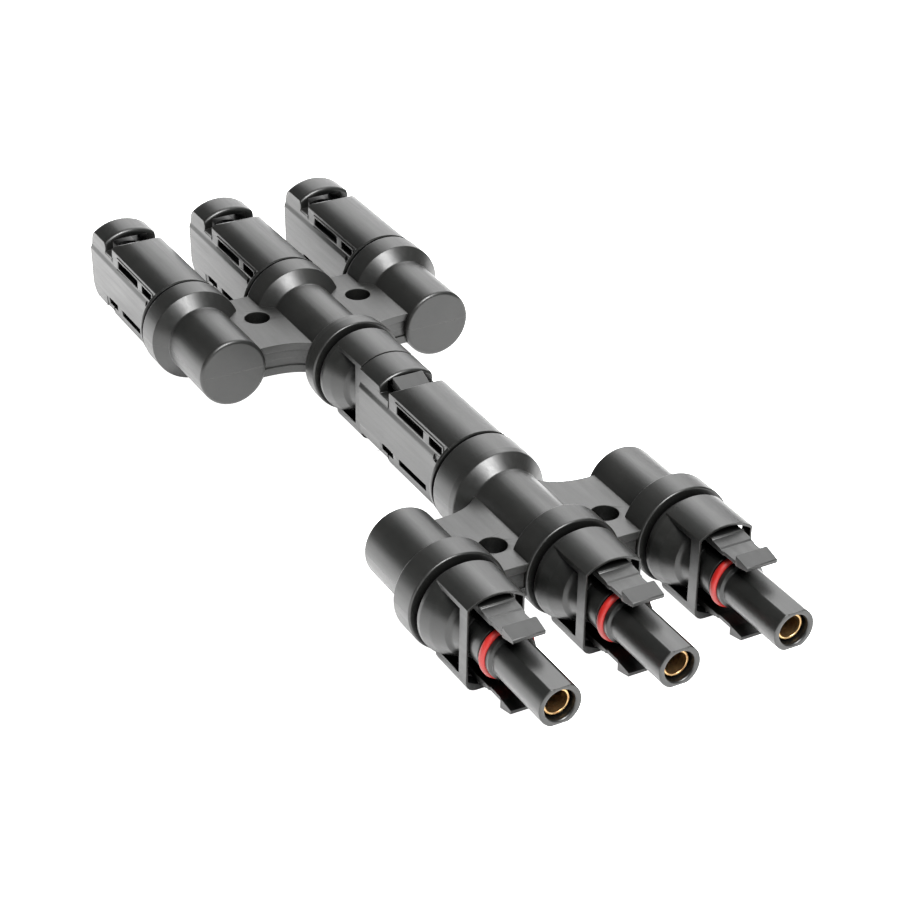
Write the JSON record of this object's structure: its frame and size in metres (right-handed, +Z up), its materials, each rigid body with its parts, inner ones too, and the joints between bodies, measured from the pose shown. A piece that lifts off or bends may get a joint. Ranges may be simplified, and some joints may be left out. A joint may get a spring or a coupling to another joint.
{
  "type": "solar cable branch connector pair",
  "caption": "Latched pair of branch connectors for solar cables: nosed plugs with snap latches and O-rings on one end, receptacle shells on the other, webs with screw holes.",
  "frame": {"origin": "centre of the footprint, on the surface that the collars rest on", "axes": "+Y along the connector from the plug noses to the receptacle shells, +Z up, +X to the right seen from the noses"},
  "size_m": [0.0658, 0.1878, 0.0195],
  "materials": {
    "casing": "semi-gloss moulded black plastic, fine grain",
    "housing": "semi-gloss moulded black plastic, bright worn edges",
    "latch": "satin moulded black plastic",
    "oring": "smooth red silicone",
    "seal": "matt black rubber",
    "contact": "turned brass",
    "contact_spring": "plated spring strip",
    "busbar": "tinned copper strip"
  },
  "bodies": {
    "front_branch": {"front_case_top": "casing", "front_case_bottom": "casing", "front_busbar": "busbar", "front_plug_left": "housing", "front_oring_left": "oring", "front_socket_left": "contact", "front_contact_spring_left": "contact_spring", "front_plug_seal_left": "seal", "front_plug_center": "housing", "front_oring_center": "oring", "front_socket_center": "contact", "front_contact_spring_center": "contact_spring", "front_plug_seal_center": "seal", "front_plug_right": "housing", "front_oring_right": "oring", "front_socket_right": "contact", "front_contact_spring_right": "contact_spring", "front_plug_seal_right": "seal", "front_shell": "housing", "front_pin": "contact"},
    "rear_branch": {"rear_case_top": "casing", "rear_case_bottom": "casing", "rear_busbar": "busbar", "rear_plug": "housing", "rear_oring": "oring", "rear_socket": "contact", "rear_contact_spring": "contact_spring", "rear_plug_seal": "seal", "rear_shell_left": "housing", "rear_pin_left": "contact", "rear_shell_center": "housing", "rear_pin_center": "contact", "rear_shell_right": "housing", "rear_pin_right": "contact"},
    "latch_left_top": {"front_latch_left_top": "latch"},
    "latch_left_bottom": {"front_latch_left_bottom": "latch"},
    "latch_center_top": {"front_latch_center_top": "latch"},
    "latch_center_bottom": {"front_latch_center_bottom": "latch"},
    "latch_right_top": {"front_latch_right_top": "latch"},
    "latch_right_bottom": {"front_latch_right_bottom": "latch"},
    "latch_joined_top": {"rear_latch_top": "latch"},
    "latch_joined_bottom": {"rear_latch_bottom": "latch"}
  },
  "joints": [
    {"name": "pair_play", "type": "slide", "parent": "front_branch", "child": "rear_branch", "axis": [0, 1, 0], "range_m": [0, 0.0003]},
    {"name": "press_left_top", "type": "hinge", "parent": "front_branch", "child": "latch_left_top", "pos_m": [-0.02315, -0.06265, 0.01665], "axis": [1, 0, 0], "range_deg": [0, 2.8], "stiffness_Nm_per_rad": 1},
    {"name": "press_left_bottom", "type": "hinge", "parent": "front_branch", "child": "latch_left_bottom", "pos_m": [-0.02315, -0.06265, 0.00285], "axis": [-1, 0, 0], "range_deg": [0, 2.8], "stiffness_Nm_per_rad": 1},
    {"name": "press_center_top", "type": "hinge", "parent": "front_branch", "child": "latch_center_top", "pos_m": [0, -0.06265, 0.01665], "axis": [1, 0, 0], "range_deg": [0, 2.8], "stiffness_Nm_per_rad": 1},
    {"name": "press_center_bottom", "type": "hinge", "parent": "front_branch", "child": "latch_center_bottom", "pos_m": [0, -0.06265, 0.00285], "axis": [-1, 0, 0], "range_deg": [0, 2.8], "stiffness_Nm_per_rad": 1},
    {"name": "press_right_top", "type": "hinge", "parent": "front_branch", "child": "latch_right_top", "pos_m": [0.02315, -0.06265, 0.01665], "axis": [1, 0, 0], "range_deg": [0, 2.8], "stiffness_Nm_per_rad": 1},
    {"name": "press_right_bottom", "type": "hinge", "parent": "front_branch", "child": "latch_right_bottom", "pos_m": [0.02315, -0.06265, 0.00285], "axis": [-1, 0, 0], "range_deg": [0, 2.8], "stiffness_Nm_per_rad": 1},
    {"name": "press_joined_top", "type": "hinge", "parent": "rear_branch", "child": "latch_joined_top", "pos_m": [0, 0.02145, 0.01665], "axis": [1, 0, 0], "range_deg": [0, 2.4], "stiffness_Nm_per_rad": 1},
    {"name": "press_joined_bottom", "type": "hinge", "parent": "rear_branch", "child": "latch_joined_bottom", "pos_m": [0, 0.02145, 0.00285], "axis": [-1, 0, 0], "range_deg": [0, 2.4], "stiffness_Nm_per_rad": 1}
  ]
}
